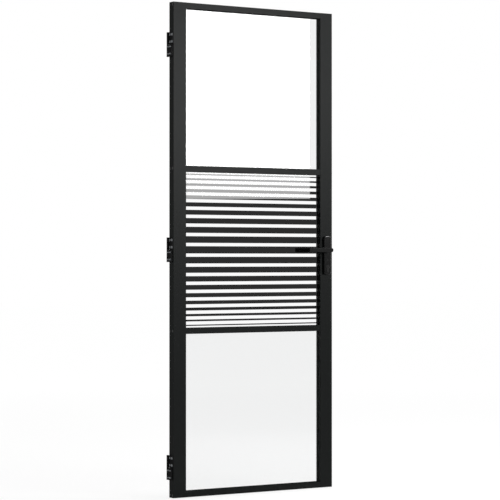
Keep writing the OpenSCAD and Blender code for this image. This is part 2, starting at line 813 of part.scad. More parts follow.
// The lever's bar: its round end turns about the neck, its back face is at y = 0
module lever_bar() {
    c = lever_chamfer;
    h = lever_h / 2;
    rotate([90, 0, 0]) {
        cylinder(r1 = h - c, r2 = h, h = c);
        translate([0, 0, c]) cylinder(r = h, h = lever_t - 2 * c);
        translate([0, 0, lever_t - c]) cylinder(r1 = h, r2 = h - c, h = c);
    }
    translate([-lever_len, 0, 0]) rotate([90, 0, 90]) linear_extrude(lever_len) polygon([
        [-c, -h], [0, c - h], [0, h - c], [-c, h],
        [c - lever_t, h], [-lever_t, h - c], [-lever_t, c - h], [c - lever_t, -h],
    ]);
}

// The lever on the front face; the rear one is its mirror image
module lever() {
    socket_w = spindle_w + 2 * run_clear;
    color(powder_black) translate([lever_x, 0, handle_z]) difference() {
        union() {
            y_rod(-bar_back_y, -neck_root_y, neck_d / 2);
            translate([0, -bar_back_y, 0]) lever_bar();
        }
        translate([-socket_w / 2, -spindle_end_y - run_clear, -socket_w / 2])
            cube([socket_w, spindle_end_y, socket_w]);
        translate([0, -grub_y, -neck_d]) cylinder(r = grub_r, h = neck_d);
    }
}

module front_lever() { lever(); }
module rear_lever() { mirror([0, 1, 0]) lever(); }

module spindle() {
    color(steel) translate([lever_x - spindle_w / 2, -spindle_end_y, handle_z - spindle_w / 2])
        cube([spindle_w, 2 * spindle_end_y, spindle_w]);
}

// Grub screws in the necks, pressed on the spindle from below
module grub_screws() {
    set_in = 0.3;
    grub_len = (neck_d - spindle_w) / 2 - set_in;
    color(black_oxide) for (y = [-grub_y, grub_y])
        translate([lever_x, y, handle_z - spindle_w / 2 - grub_len]) cylinder(r = grub_r, h = grub_len);
}

// Hub on the spindle, with the finger that draws the latch back
module follower() {
    socket_w = spindle_w + 2 * run_clear;
    hub_half_y = case_in_y - fit_clear;
    color(zinc) translate([lever_x, 0, handle_z]) difference() {
        union() {
            y_rod(-hub_half_y, hub_half_y, hub_r);
            y_rod(-case_t / 2, case_t / 2, journal_r);
            translate([-finger_half, -finger_half_y, 0]) cube([2 * finger_half, 2 * finger_half_y, finger_r]);
        }
        translate([-socket_w / 2, -case_t, -socket_w / 2]) cube([socket_w, 2 * case_t, socket_w]);
    }
}

// Latch: bevelled head, a tail over the follower's finger and a hook behind it
module latch_bolt() {
    half_t = latch_t / 2;
    nose_x = forend_x + latch_throw;
    hook_z = handle_z + hub_r + 1.5;
    color(nickel) {
        translate([0, 0, latch_z0]) linear_extrude(latch_h) polygon([
            [latch_root_x, -half_t], [forend_x + 0.5, -half_t], [nose_x, half_t - latch_nose_flat],
            [nose_x, half_t], [latch_root_x, half_t],
        ]);
        translate([hook_x - hook_t, -latch_tail_half_y, latch_tail_z])
            cube([latch_root_x - hook_x + hook_t + cut, 2 * latch_tail_half_y, latch_tail_h]);
        translate([hook_x - hook_t, -latch_tail_half_y, hook_z])
            cube([hook_t, 2 * latch_tail_half_y, latch_tail_z + latch_tail_h - hook_z]);
    }
}

module dead_bolt() {
    color(nickel) translate([bolt_root_x, -bolt_t / 2, bolt_z0])
        cube([forend_x - bolt_set_in - bolt_root_x, bolt_t, bolt_h]);
}

jamb_leaf_top();
jamb_leaf_middle();
jamb_leaf_bottom();
hinge_pins();
thrust_washers();
jamb_screws();
hinge_stile();
lock_stile();
top_rail();
bottom_rail();
upper_muntin();
lower_muntin();
upper_pane();
middle_pane();
lower_pane();
upper_gasket();
middle_gasket();
lower_gasket();
stripe_print();
stile_end_caps();
rail_screws();
access_plugs();
door_leaf_top();
door_leaf_middle();
door_leaf_bottom();
hinge_backing_plates();
hinge_leaf_screws();
lock_case();
lock_cover();
forend();
forend_screws();
cylinder_body();
cylinder_screw();
front_backplate();
rear_backplate();
plate_screws();
sleeve_nuts();
lever_bushes();
front_lever();
rear_lever();
spindle();
follower();
grub_screws();
latch_bolt();
dead_bolt();
key_plug();
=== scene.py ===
import math

import bmesh
import bpy
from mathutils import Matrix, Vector


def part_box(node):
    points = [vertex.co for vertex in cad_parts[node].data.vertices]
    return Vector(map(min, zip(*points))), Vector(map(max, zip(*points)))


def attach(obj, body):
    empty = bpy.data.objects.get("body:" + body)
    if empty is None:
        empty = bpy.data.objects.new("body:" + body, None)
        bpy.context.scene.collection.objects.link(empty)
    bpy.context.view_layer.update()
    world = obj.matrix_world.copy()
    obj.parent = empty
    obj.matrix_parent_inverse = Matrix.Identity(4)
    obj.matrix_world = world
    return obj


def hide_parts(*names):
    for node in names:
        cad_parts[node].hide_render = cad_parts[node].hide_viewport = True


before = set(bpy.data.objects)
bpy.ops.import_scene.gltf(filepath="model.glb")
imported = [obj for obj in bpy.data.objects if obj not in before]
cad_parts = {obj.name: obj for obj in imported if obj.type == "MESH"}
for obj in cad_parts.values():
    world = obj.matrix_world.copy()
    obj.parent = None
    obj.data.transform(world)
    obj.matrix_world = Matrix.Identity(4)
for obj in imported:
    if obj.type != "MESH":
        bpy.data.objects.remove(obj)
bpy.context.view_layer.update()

# Stiles, rails and muntins: hollow aluminium extrusions, saw-cut and screwed together, then
# powder coated in a fine-textured satin black. The coat is never one even tone, and its texture
# takes the gloss away where it is seen at a slant.


def material_with(name):
    """A new material with its Principled shader, and Object coordinates for its patterns."""
    material = bpy.data.materials.new(name)
    material.use_nodes = True
    tree = material.node_tree
    shader = tree.nodes["Principled BSDF"]
    place = tree.nodes.new("ShaderNodeTexCoord")
    return material, tree, shader, place.outputs["Object"]


def group_with(name, inputs, outputs):
    """A new shader node group with these named sockets, and its two end nodes."""
    group = bpy.data.node_groups.new(name, "ShaderNodeTree")
    for socket, kind in inputs:
        group.interface.new_socket(name=socket, in_out="INPUT", socket_type=kind)
    for socket, kind in outputs:
        group.interface.new_socket(name=socket, in_out="OUTPUT", socket_type=kind)
    return group, group.nodes.new("NodeGroupInput"), group.nodes.new("NodeGroupOutput")


def noise_in(group, vector, scale, detail):
    """A noise at this scale, which stays mostly near a half."""
    noise = group.nodes.new("ShaderNodeTexNoise")
    noise.inputs["Detail"].default_value = detail
    group.links.new(vector, noise.inputs["Vector"])
    group.links.new(scale, noise.inputs["Scale"])
    return noise.outputs["Fac"]


def spread_in(group, value, low, high):
    """Stretches a noise's middle range to run from low to high."""
    middle_low, middle_high = 0.3, 0.7
    spread = group.nodes.new("ShaderNodeMapRange")
    spread.inputs["From Min"].default_value = middle_low
    spread.inputs["From Max"].default_value = middle_high
    group.links.new(value, spread.inputs["Value"])
    group.links.new(low, spread.inputs["To Min"])
    group.links.new(high, spread.inputs["To Max"])
    return spread.outputs["Result"]


def tones_in(group, factor, dark, light):
    """A colour between these two, by the factor."""
    mix = group.nodes.new("ShaderNodeMix")
    mix.data_type = "RGBA"
    group.links.new(factor, mix.inputs["Factor"])
    group.links.new(dark, mix.inputs["A"])
    group.links.new(light, mix.inputs["B"])
    return mix.outputs["Result"]


FINISH_INPUTS = [
    ("Vector", "NodeSocketVector"),
    ("Dark", "NodeSocketColor"),
    ("Light", "NodeSocketColor"),
    ("Cloud scale", "NodeSocketFloat"),
    ("Grain scale", "NodeSocketFloat"),
    ("Smooth", "NodeSocketFloat"),
    ("Rough", "NodeSocketFloat"),
]
FINISH_OUTPUTS = [
    ("Colour", "NodeSocketColor"),
    ("Roughness", "NodeSocketFloat"),
    ("Height", "NodeSocketFloat"),
]

# The sprayed or moulded grain: soft clouds of tone with a fine pebble over them
grain_group, grain_in, grain_out = group_with("sprayed_grain", FINISH_INPUTS, FINISH_OUTPUTS)
clouds = noise_in(grain_group, grain_in.outputs["Vector"], grain_in.outputs["Cloud scale"], detail=4.0)
pebble = noise_in(grain_group, grain_in.outputs["Vector"], grain_in.outputs["Grain scale"], detail=2.0)
grain_tone = tones_in(grain_group, clouds, grain_in.outputs["Dark"], grain_in.outputs["Light"])
grain_rough = spread_in(grain_group, pebble, grain_in.outputs["Smooth"], grain_in.outputs["Rough"])
grain_group.links.new(grain_tone, grain_out.inputs["Colour"])
grain_group.links.new(grain_rough, grain_out.inputs["Roughness"])
grain_group.links.new(pebble, grain_out.inputs["Height"])


def finish_with(group, name, dark, light, cloud_scale, grain_scale, smooth, rough, relief):
    """A material whose tone, roughness and relief come from one of the finish groups."""
    grain_depth = 0.0003
    material, tree, shader, place = material_with(name)
    finish = tree.nodes.new("ShaderNodeGroup")
    finish.node_tree = group
    finish.inputs["Dark"].default_value = (*dark, 1.0)
    finish.inputs["Light"].default_value = (*light, 1.0)
    finish.inputs["Cloud scale"].default_value = cloud_scale
    finish.inputs["Grain scale"].default_value = grain_scale
    finish.inputs["Smooth"].default_value = smooth
    finish.inputs["Rough"].default_value = rough
    bump = tree.nodes.new("ShaderNodeBump")
    bump.inputs["Strength"].default_value = relief
    bump.inputs["Distance"].default_value = grain_depth
    tree.links.new(place, finish.inputs["Vector"])
    tree.links.new(finish.outputs["Height"], bump.inputs["Height"])
    tree.links.new(finish.outputs["Colour"], shader.inputs["Base Color"])
    tree.links.new(finish.outputs["Roughness"], shader.inputs["Roughness"])
    tree.links.new(bump.outputs["Normal"], shader.inputs["Normal"])
    return material, shader


def dress(material, *nodes):
    """Gives the CAD nodes of one finish their material."""
    for name in nodes:
        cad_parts[name].data.materials[0] = material


def gloss_from(material, shader, head_on, at_slant):
    """Gives a sprayed coat its gloss head on, which changes to another one towards a slant."""
    head_on_up_to, slant_from = 0.2, 0.55
    shader.inputs["Specular IOR Level"].default_value = head_on
    tree = material.node_tree
    slant = tree.nodes.new("ShaderNodeLayerWeight")
    slant.inputs["Blend"].default_value = 0.5
    sheen = tree.nodes.new("ShaderNodeMapRange")
    sheen.inputs["From Min"].default_value = head_on_up_to
    sheen.inputs["From Max"].default_value = slant_from
    sheen.inputs["To Min"].default_value = head_on
    sheen.inputs["To Max"].default_value = at_slant
    tree.links.new(slant.outputs["Facing"], sheen.inputs["Value"])
    tree.links.new(sheen.outputs["Result"], shader.inputs["Specular IOR Level"])


powder_coat, powder_shader = finish_with(
    grain_group, "powder_coat_black", dark=(0.0030, 0.0042, 0.0039), light=(0.0056, 0.0070, 0.0066),
    cloud_scale=7.0, grain_scale=900.0, smooth=0.37, rough=0.46, relief=0.12,
)
gloss_from(powder_coat, powder_shader, head_on=0.18, at_slant=0.0)
dress(
    powder_coat,
    "hinge_stile", "lock_stile", "top_rail", "bottom_rail", "upper_muntin", "lower_muntin",
)

# Panes: clear toughened glass, six millimetres thick, sitting in the profiles' grooves. Plain
# float glass has a breath of tint. The printed pane is low-iron and coated to mirror less, so
# that the gaps between its stripes stay white.
wipe_group, wipe_in, wipe_out = group_with(
    "wipe_marks",
    [("Vector", "NodeSocketVector"), ("Scale", "NodeSocketFloat"), ("Smooth", "NodeSocketFloat"),
     ("Rough", "NodeSocketFloat"), ("Dark", "NodeSocketColor"), ("Light", "NodeSocketColor")],
    [("Roughness", "NodeSocketFloat"), ("Colour", "NodeSocketColor")],
)
wipes = noise_in(wipe_group, wipe_in.outputs["Vector"], wipe_in.outputs["Scale"], detail=3.0)
wipe_rough = spread_in(wipe_group, wipes, wipe_in.outputs["Smooth"], wipe_in.outputs["Rough"])
wipe_tone = tones_in(wipe_group, wipes, wipe_in.outputs["Dark"], wipe_in.outputs["Light"])
wipe_group.links.new(wipe_rough, wipe_out.inputs["Roughness"])
wipe_group.links.new(wipe_tone, wipe_out.inputs["Colour"])


def glass_with(name, dark, light, index):
    """Clear glass with this range of tint and this index at its surface, and faint wipe marks."""
    wipe_scale, wiped_clean, wiped_dull = 3.0, 0.0, 0.006
    material, tree, shader, place = material_with(name)
    shader.inputs["Metallic"].default_value = 0.0
    shader.inputs["Transmission Weight"].default_value = 1.0
    shader.inputs["IOR"].default_value = index
    marks = tree.nodes.new("ShaderNodeGroup")
    marks.node_tree = wipe_group
    marks.inputs["Scale"].default_value = wipe_scale
    marks.inputs["Smooth"].default_value = wiped_clean
    marks.inputs["Rough"].default_value = wiped_dull
    marks.inputs["Dark"].default_value = (*dark, 1.0)
    marks.inputs["Light"].default_value = (*light, 1.0)
    tree.links.new(place, marks.inputs["Vector"])
    tree.links.new(marks.outputs["Roughness"], shader.inputs["Roughness"])
    tree.links.new(marks.outputs["Colour"], shader.inputs["Base Color"])
    return material


float_glass = glass_with(
    "float_glass", dark=(0.915, 0.920, 0.920), light=(0.925, 0.930, 0.930), index=1.5,
)
dress(float_glass, "upper_pane", "lower_pane")
clear_glass = glass_with(
    "low_iron_glass", dark=(0.975, 0.978, 0.978), light=(0.985, 0.988, 0.988), index=1.15,
)
dress(clear_glass, "middle_pane")

# Stripes: glossy black enamel, screen-printed on the front of the middle pane and fired into it.
# The bands are tallest at mid height, each next one lower by the same step, with even gaps
# between them and a narrow border down both sides.
enamel, enamel_shader = finish_with(
    grain_group, "enamel_black", dark=(0.0020, 0.0020, 0.0021), light=(0.0034, 0.0034, 0.0036),
    cloud_scale=14.0, grain_scale=60.0, smooth=0.0, rough=0.012, relief=0.001,
)
enamel_shader.inputs["Specular IOR Level"].default_value = 0.65


def node_in(tree, kind, **values):
    """A geometry node with these inputs: each a socket to link from, or a plain value."""
    node = tree.nodes.new(kind)
    for name, value in values.items():
        socket = node.inputs[name.replace("_", " ")]
        if isinstance(value, bpy.types.NodeSocket):
            tree.links.new(value, socket)
        else:
            socket.default_value = value
    return node


def sum_in(tree, operation, first, second=0.0):
    """The result of a sum on these two, each a socket to link from or a plain number."""
    node = tree.nodes.new("ShaderNodeMath")
    node.operation = operation
    for socket, value in zip(node.inputs, (first, second)):
        if isinstance(value, bpy.types.NodeSocket):
            tree.links.new(value, socket)
        else:
            socket.default_value = value
    return node.outputs[0]


def nodes_with(name, inputs):
    """A geometry node tree with these named inputs: the tree, its input sockets and its end."""
    tree = bpy.data.node_groups.new(name, "GeometryNodeTree")
    tree.interface.new_socket(name="Geometry", in_out="INPUT", socket_type="NodeSocketGeometry")
    for socket, kind in inputs:
        tree.interface.new_socket(name=socket, in_out="INPUT", socket_type=kind)
    tree.interface.new_socket(name="Geometry", in_out="OUTPUT", socket_type="NodeSocketGeometry")
    return tree, tree.nodes.new("NodeGroupInput").outputs, tree.nodes.new("NodeGroupOutput").inputs


def grown_mesh(tree, points, values):
    """Runs a geometry node tree on a few points, and keeps the result as a plain mesh."""
    seed_mesh = bpy.data.meshes.new("seed")
    seed_mesh.from_pydata(points, [], [])
    seed = bpy.data.objects.new("seed", seed_mesh)
    bpy.context.scene.collection.objects.link(seed)
    modifier = seed.modifiers.new("grow", "NODES")
    modifier.node_group = tree
    for item in tree.interface.items_tree:
        if item.in_out == "INPUT" and item.name in values:
            modifier[item.identifier] = values[item.name]
    bpy.context.view_layer.update()
    evaluated = seed.evaluated_get(bpy.context.evaluated_depsgraph_get())
    grown = bpy.data.meshes.new_from_object(evaluated)
    seed.modifiers.remove(modifier)
    bpy.data.objects.remove(seed)
    bpy.data.meshes.remove(seed_mesh)
    return grown


def piece_from(mesh, name, body, slot, *stands_for):
    """Makes the mesh a piece that rides on its body and stands for its CAD nodes."""
    piece = bpy.data.objects.new(name, mesh)
    mesh.name = name
    bpy.context.scene.collection.objects.link(piece)
    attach(piece, body)
    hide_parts(*stands_for)
    return piece


bands, given, made = nodes_with("stripe_bands", [
    ("Each side", "NodeSocketInt"), ("Middle height", "NodeSocketFloat"),
    ("End height", "NodeSocketFloat"), ("End margin", "NodeSocketFloat"),
    ("Border", "NodeSocketFloat"), ("Pane size", "NodeSocketVector"),
    ("Pane middle", "NodeSocketVector"), ("Finish", "NodeSocketMaterial"),
])
pane_size = node_in(bands, "ShaderNodeSeparateXYZ", Vector=given["Pane size"]).outputs
each_side = given["Each side"]
middle_h, end_h = given["Middle height"], given["End height"]
step = sum_in(bands, "DIVIDE", sum_in(bands, "SUBTRACT", middle_h, end_h), each_side)
heights = sum_in(bands, "ADD", sum_in(bands, "MULTIPLY", each_side, middle_h),
                 sum_in(bands, "MULTIPLY", sum_in(bands, "ADD", each_side, 1.0), end_h))
margins = sum_in(bands, "MULTIPLY", given["End margin"], 2.0)
open_h = sum_in(bands, "SUBTRACT", pane_size["Z"], margins)
gap = sum_in(bands, "DIVIDE", sum_in(bands, "SUBTRACT", open_h, heights),
             sum_in(bands, "MULTIPLY", each_side, 2.0))
count = sum_in(bands, "ADD", sum_in(bands, "MULTIPLY", each_side, 2.0), 1.0)
order = bands.nodes.new("GeometryNodeInputIndex").outputs[0]
place_k = sum_in(bands, "SUBTRACT", order, each_side)
from_middle = sum_in(bands, "ABSOLUTE", place_k)
band_h = sum_in(bands, "SUBTRACT", middle_h, sum_in(bands, "MULTIPLY", step, from_middle))
pitch_z = sum_in(bands, "MULTIPLY", place_k, sum_in(bands, "ADD", middle_h, gap))
shrink = sum_in(bands, "MULTIPLY", sum_in(bands, "MULTIPLY", place_k, from_middle),
                sum_in(bands, "DIVIDE", step, 2.0))
band_z = sum_in(bands, "SUBTRACT", pitch_z, shrink)
band_w = sum_in(bands, "SUBTRACT", pane_size["X"], sum_in(bands, "MULTIPLY", given["Border"], 2.0))
row = node_in(bands, "GeometryNodeMeshLine", Count=count, Offset=(0.0, 0.0, 0.0))
placed = node_in(bands, "GeometryNodeSetPosition", Geometry=row.outputs["Mesh"],
                 Position=node_in(bands, "ShaderNodeCombineXYZ", Z=band_z).outputs[0])
unit = node_in(bands, "GeometryNodeMeshCube", Size=(1.0, 1.0, 1.0)).outputs["Mesh"]
stripes = node_in(
    bands, "GeometryNodeInstanceOnPoints", Points=placed.outputs[0], Instance=unit,
    Scale=node_in(bands, "ShaderNodeCombineXYZ", X=band_w, Y=pane_size["Y"], Z=band_h).outputs[0],
)
side_size = node_in(
    bands, "ShaderNodeCombineXYZ", X=given["Border"], Y=pane_size["Y"], Z=pane_size["Z"],
)
side = node_in(bands, "GeometryNodeMeshCube", Size=side_size.outputs[0]).outputs["Mesh"]
side_x = sum_in(bands, "DIVIDE", sum_in(bands, "SUBTRACT", pane_size["X"], given["Border"]), 2.0)
joined = bands.nodes.new("GeometryNodeJoinGeometry")
for hand in (-1.0, 1.0):
    border_x = sum_in(bands, "MULTIPLY", side_x, hand)
    shift = node_in(bands, "ShaderNodeCombineXYZ", X=border_x).outputs[0]
    moved = node_in(bands, "GeometryNodeTransform", Geometry=side, Translation=shift)
    bands.links.new(moved.outputs[0], joined.inputs[0])
bands.links.new(stripes.outputs[0], joined.inputs[0])
centred = node_in(
    bands, "GeometryNodeTransform", Geometry=joined.outputs[0], Translation=given["Pane middle"],
)
solid = node_in(bands, "GeometryNodeRealizeInstances", Geometry=centred.outputs[0])
coated = node_in(
    bands, "GeometryNodeSetMaterial", Geometry=solid.outputs[0], Material=given["Finish"],
)
bands.links.new(coated.outputs[0], made["Geometry"])

print_low, print_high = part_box("stripe_print")
fired_depth = 0.00005
print_high.y += fired_depth
stripe_mesh = grown_mesh(bands, [(0, 0, 0)], {
    "Each side": 10, "Middle height": 0.030, "End height": 0.005,
    "End margin": 0.007, "Border": 0.003, "Finish": enamel,
    "Pane size": print_high - print_low, "Pane middle": (print_high + print_low) / 2,
})
piece_from(stripe_mesh, "enamel_stripes", "leaf", "enamel_black", "stripe_print")

# Gaskets, end caps, plugs, bushes and washers: the gaskets are extruded rubber pushed in beside
# the glass, and the rest is moulded nylon. All of them are matt black.
rubber = finish_with(
    grain_group, "gasket_rubber", dark=(0.004, 0.004, 0.004), light=(0.009, 0.009, 0.009),
    cloud_scale=30.0, grain_scale=1400.0, smooth=0.62, rough=0.8, relief=0.2,
)[0]
dress(rubber, "upper_gasket", "middle_gasket", "lower_gasket")
nylon, nylon_shader = finish_with(
    grain_group, "moulded_nylon", dark=(0.005, 0.005, 0.005), light=(0.010, 0.010, 0.010),
    cloud_scale=40.0, grain_scale=2200.0, smooth=0.45, rough=0.62, relief=0.15,
)
nylon_shader.inputs["Specular IOR Level"].default_value = 0.3
dress(nylon, "stile_end_caps", "access_plugs", "lever_bushes", "thrust_washers")

# Hinges: stamped steel leaves with rolled knuckles, painted black, on ground steel pins. The
# upper leaf is on the door, screwed to a steel plate inside the stile.
hinge_paint, hinge_shader = finish_with(
    grain_group, "hinge_paint_black", dark=(0.0018, 0.0019, 0.0020), light=(0.0036, 0.0038, 0.0039),
    cloud_scale=45.0, grain_scale=1500.0, smooth=0.36, rough=0.48, relief=0.15,
)
gloss_from(hinge_paint, hinge_shader, head_on=0.14, at_slant=0.0)
hinge_places = ("top", "middle", "bottom")
for place in hinge_places:
    dress(hinge_paint, f"door_leaf_{place}", f"jamb_leaf_{place}")

# Drawn metal: fine upright lines over slow clouds of tone
drawn_group, drawn_in, drawn_out = group_with("drawn_metal", FINISH_INPUTS, FINISH_OUTPUTS)
line_stretch = 0.04
along = drawn_group.nodes.new("ShaderNodeMapping")
along.inputs["Scale"].default_value = (1.0, 1.0, line_stretch)
drawn_group.links.new(drawn_in.outputs["Vector"], along.inputs["Vector"])
lines = noise_in(drawn_group, along.outputs["Vector"], drawn_in.outputs["Grain scale"], detail=2.0)
stains = noise_in(drawn_group, drawn_in.outputs["Vector"], drawn_in.outputs["Cloud scale"], detail=3.0)
drawn_tone = tones_in(drawn_group, stains, drawn_in.outputs["Dark"], drawn_in.outputs["Light"])
drawn_rough = spread_in(drawn_group, lines, drawn_in.outputs["Smooth"], drawn_in.outputs["Rough"])
drawn_group.links.new(drawn_tone, drawn_out.inputs["Colour"])
drawn_group.links.new(drawn_rough, drawn_out.inputs["Roughness"])
drawn_group.links.new(lines, drawn_out.inputs["Height"])

steel, steel_shader = finish_with(
    drawn_group, "drawn_steel", dark=(0.42, 0.42, 0.43), light=(0.54, 0.54, 0.55),
    cloud_scale=60.0, grain_scale=3600.0, smooth=0.24, rough=0.38, relief=0.03,
)
steel_shader.inputs["Metallic"].default_value = 1.0
dress(steel, "hinge_pins", "hinge_backing_plates")

# Screws: cold-headed steel in dull zinc plate, with rolled threads and a driven recess in the
# countersunk head. Eight hold each hinge, and plain ones in the stiles hold the frame together.
zinc, zinc_shader = finish_with(
    grain_group, "zinc_plate", dark=(0.16, 0.17, 0.18), light=(0.24, 0.25, 0.26),
    cloud_scale=90.0, grain_scale=1600.0, smooth=0.24, rough=0.4, relief=0.05,
)
zinc_shader.inputs["Metallic"].default_value = 1.0
dress(zinc, "rail_screws")


def recess_outline(kind, size):
    """The corners of a cross or hexagon recess, in order round the screw's axis."""
    if kind == "hexagon":
        angles = [math.radians(60 * i) for i in range(6)]
        return [(size * math.cos(a), size * math.sin(a)) for a in angles]
    arm, slot = size, size * 0.22
    quarter = [(arm, -slot), (arm, slot), (slot, slot)]
    corners = []
    for c, s in ((1, 0), (0, 1), (-1, 0), (0, -1)):
        corners += [(c * x - s * y, s * x + c * y) for x, y in quarter]
    return corners


def screw_mesh(name, shank_r, head_r, length, pitch, recess, recess_size, recess_depth):
    """A countersunk screw: its flat head at the origin, its shank along +Z."""
    sides, edge, tip = 24, 0.00015, 0.0006
    valley, crest, floor_share = 0.45 * pitch, 0.9 * pitch, 0.8
    head_z, root_r = head_r - shank_r, shank_r - 0.55 * pitch
    profile = [(head_r - edge, 0.0), (head_r, edge), (shank_r, head_z), (shank_r, head_z + pitch)]
    z = head_z + pitch
    while z + pitch < length - tip:
        profile += [(root_r, z + valley), (shank_r, z + crest), (shank_r, z + pitch)]
        z += pitch
    profile += [(shank_r, length - tip), (shank_r - tip, length)]
    mesh = bmesh.new()
    rings = []
    for r, height in profile:
        angles = [2 * math.pi * i / sides for i in range(sides)]
        rings.append([mesh.verts.new((r * math.cos(a), r * math.sin(a), height)) for a in angles])
    for lower, upper in zip(rings, rings[1:]):
        for i in range(sides):
            j = (i + 1) % sides
            mesh.faces.new((lower[i], lower[j], upper[j], upper[i]))
    mesh.faces.new(rings[-1])
    outline = recess_outline(recess, recess_size)
    mouth = [mesh.verts.new((x, y, 0.0)) for x, y in outline]
    floor = [mesh.verts.new((x * floor_share, y * floor_share, recess_depth)) for x, y in outline]
    for i in range(len(outline)):
        j = (i + 1) % len(outline)
        mesh.faces.new((mouth[i], mouth[j], floor[j], floor[i]))
    mesh.faces.new(floor)
    rims = [loop for ring in (rings[0], mouth) for loop in zip(ring, ring[1:] + ring[:1])]
    rim_edges = [mesh.edges.get(pair) or mesh.edges.new(pair) for pair in rims]
    bmesh.ops.triangle_fill(mesh, edges=rim_edges, use_beauty=True, use_dissolve=False)
    bmesh.ops.recalc_face_normals(mesh, faces=mesh.faces)
    blank = bpy.data.meshes.new(name)
    mesh.to_mesh(blank)
    mesh.free()
    return blank


set_screws, spots, screwed = nodes_with("screws_in_holes", [
    ("Screw", "NodeSocketObject"), ("Turn", "NodeSocketVector"), ("Finish", "NodeSocketMaterial"),
])
pattern = node_in(set_screws, "GeometryNodeObjectInfo", Object=spots["Screw"]).outputs["Geometry"]
facing = node_in(set_screws, "FunctionNodeEulerToRotation", Euler=spots["Turn"]).outputs[0]
driven = node_in(
    set_screws, "GeometryNodeInstanceOnPoints",
    Points=spots["Geometry"], Instance=pattern, Rotation=facing,
)
chance = set_screws.nodes.new("FunctionNodeRandomValue")
chance.data_type = "FLOAT"
spin_range = [socket for socket in chance.inputs if socket.enabled and socket.name in ("Min", "Max")]
for socket, value in zip(spin_range, (0.0, math.pi)):
    socket.default_value = value
spin_angle = next(socket for socket in chance.outputs if socket.enabled)
spin = node_in(set_screws, "ShaderNodeCombineXYZ", Z=spin_angle).outputs[0]
spun = node_in(
    set_screws, "GeometryNodeRotateInstances",
    Instances=driven.outputs[0], Rotation=spin, Local_Space=True,
)
fixed = node_in(set_screws, "GeometryNodeRealizeInstances", Geometry=spun.outputs[0])
plated = node_in(
    set_screws, "GeometryNodeSetMaterial", Geometry=fixed.outputs[0], Material=spots["Finish"],
)
set_screws.links.new(plated.outputs[0], screwed["Geometry"])


def drive_screws(name, body, slot, node, points, turn, finish, blank):
    """Drives one screw like the blank into each point, and lets them stand for their node."""
    sample = bpy.data.objects.new("screw_blank", blank)
    bpy.context.scene.collection.objects.link(sample)
    sample.hide_render = True
    mesh = grown_mesh(set_screws, points, {"Screw": sample, "Turn": turn, "Finish": finish})
    bpy.data.objects.remove(sample)
    bpy.data.meshes.remove(blank)
    return piece_from(mesh, name, body, slot, node)


quarter_turn = math.pi / 2
hinge_zs = [
    (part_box(f"door_leaf_{place}")[0].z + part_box(f"jamb_leaf_{place}")[1].z) / 2
    for place in hinge_places
]
leaf_middle = (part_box("door_leaf_top")[1].z - hinge_zs[0]) / 2
column_off, row_off = 0.008, 0.0145
hinge_columns = (-column_off, column_off)
hinge_rows = (leaf_middle - row_off, leaf_middle + row_off)
for name, body, node, side in (
    ("door_hinge_screws", "leaf", "hinge_leaf_screws", 1),
    ("jamb_hinge_screws", "jamb_side", "jamb_screws", -1),
):
    screw_low, screw_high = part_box(node)
    head_x = screw_low.x if side > 0 else screw_high.x
    drive_screws(
        name, body, "zinc", node,
        [(head_x, y, z + side * row) for z in hinge_zs for y in hinge_columns for row in hinge_rows],
        (0.0, side * quarter_turn, 0.0), zinc,
        screw_mesh(
            "hinge_screw", shank_r=0.0025, head_r=0.005, length=screw_high.x - screw_low.x,
            pitch=0.0008, recess="cross", recess_size=0.0030, recess_depth=0.0024,
        ),
    )

# Lock: a zinc-plated sheet case with nickel-plated bolts, behind a steel forend that two screws
# hold in the lock stile. The cylinder is brass with a turning plug, both black plated to go with
# the handle.
dress(zinc, "lock_case", "lock_cover", "follower")
dress(steel, "forend", "cylinder_screw")
nickel, nickel_shader = finish_with(
    drawn_group, "satin_nickel", dark=(0.56, 0.54, 0.49), light=(0.66, 0.64, 0.59),
    cloud_scale=50.0, grain_scale=4000.0, smooth=0.22, rough=0.34, relief=0.02,
)
nickel_shader.inputs["Metallic"].default_value = 1.0
dress(nickel, "latch_bolt", "dead_bolt")
forend_head_r = 0.0036
forend_low, forend_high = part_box("forend_screws")
forend_screw_zs = (forend_low.z + forend_head_r, forend_high.z - forend_head_r)
drive_screws(
    "lock_forend_screws", "leaf", "steel", "forend_screws",
    [(forend_high.x, 0.0, z) for z in forend_screw_zs], (0.0, -quarter_turn, 0.0), steel,
    screw_mesh(
        "forend_screw", shank_r=0.002, head_r=forend_head_r, length=forend_high.x - forend_low.x,
        pitch=0.0007, recess="cross", recess_size=0.0022, recess_depth=0.0018,
    ),
)
black_plate, plate_shader = finish_with(
    drawn_group, "black_plate", dark=(0.012, 0.012, 0.012), light=(0.022, 0.022, 0.022),
    cloud_scale=70.0, grain_scale=1500.0, smooth=0.28, rough=0.42, relief=0.05,
)
plate_shader.inputs["Metallic"].default_value = 0.6
dress(black_plate, "cylinder_body", "key_plug")

# Handle: cast levers on a square spindle, and long backplates with chamfered edges. Both are
# sprayed black, the plates satin and the levers softer to the hand. Two socket-head screws run
# through the lock stile into sleeve nuts.
dress(steel, "spindle")
dress(black_plate, "sleeve_nuts", "grub_screws")
for paint, smooth, rough, at_slant, sides in (
    ("plate_paint_black", 0.28, 0.38, 0.22, ("front_backplate", "rear_backplate")),
    ("lever_paint_black", 0.46, 0.56, 0.0, ("front_lever", "rear_lever")),
):
    handle_paint, handle_shader = finish_with(
        grain_group, paint, dark=(0.0020, 0.0022, 0.0022), light=(0.0038, 0.0041, 0.0041),
        cloud_scale=40.0, grain_scale=1800.0, smooth=smooth, rough=rough, relief=0.08,
    )
    gloss_from(handle_paint, handle_shader, head_on=0.18, at_slant=at_slant)
    dress(handle_paint, *sides)
plate_head_r = 0.004
plate_low, plate_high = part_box("plate_screws")
lever_axis_x = (plate_low.x + plate_high.x) / 2
plate_screw_zs = (plate_high.z - plate_head_r, plate_low.z + plate_head_r)
